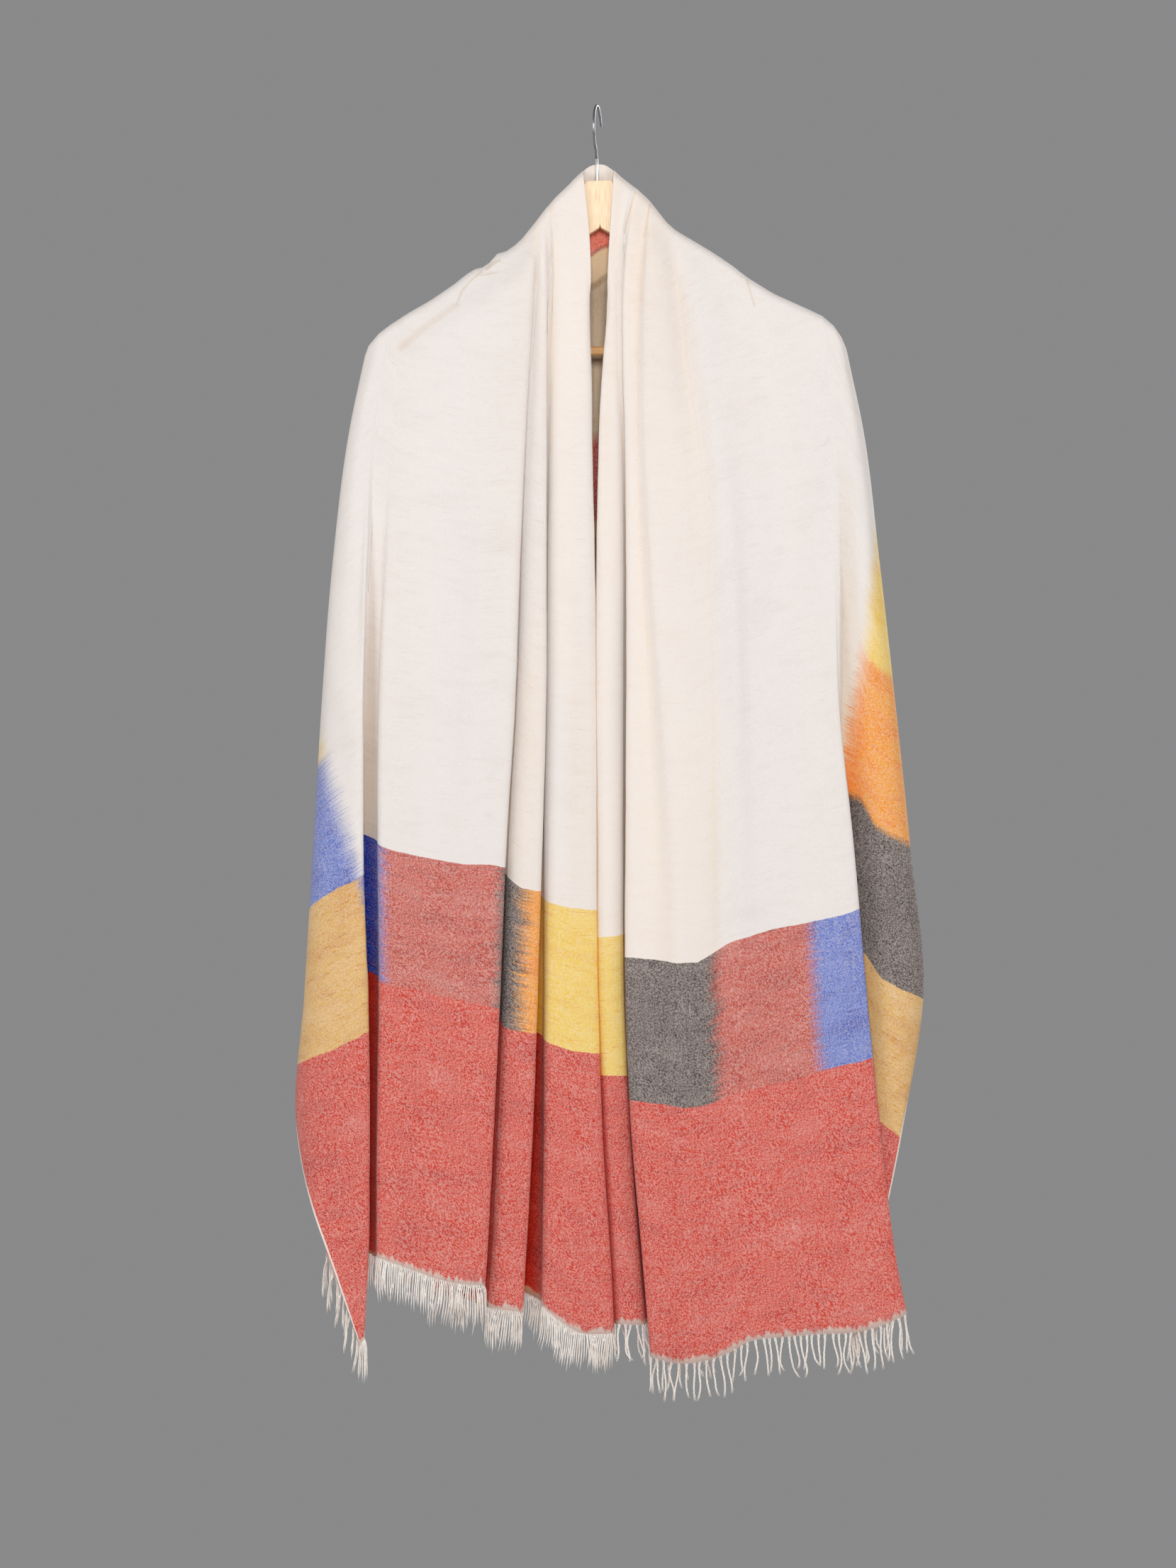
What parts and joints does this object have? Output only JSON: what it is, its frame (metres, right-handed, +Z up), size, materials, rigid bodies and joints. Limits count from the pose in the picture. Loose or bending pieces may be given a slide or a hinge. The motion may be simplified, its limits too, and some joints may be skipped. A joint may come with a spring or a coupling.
{
  "type": "fringed shawl on a coat hanger",
  "caption": "Long soft wool shawl with fringed ends, hung open like a cape over a flat wooden coat hanger with a trouser bar and a wire hook, its fronts laid in long pleats.",
  "frame": {"origin": "the inside of the hook's top, where it rests on the rod that carries it", "axes": "X to the right across the hanger as seen from the shawl's open front, Y to the back, Z up"},
  "size_m": [0.553, 0.098, 1.1409],
  "materials": {
    "undyed_wool": "fine soft wool twill, undyed cream with dyed blocks, matt with a light nap",
    "fringe_wool": "loose and twisted undyed wool yarn",
    "pale_wood": "clear lacquered pale wood with a satin gloss",
    "chrome_wire": "bright plated round wire"
  },
  "bodies": {
    "root": {"hook": "chrome_wire", "hanger_arm_left": "pale_wood", "hanger_arm_right": "pale_wood", "hanger_bar": "pale_wood", "shawl_front_left": "undyed_wool", "shawl_front_right": "undyed_wool", "shawl_back": "undyed_wool", "fringe_left": "fringe_wool", "fringe_right": "fringe_wool"}
  },
  "joints": []
}
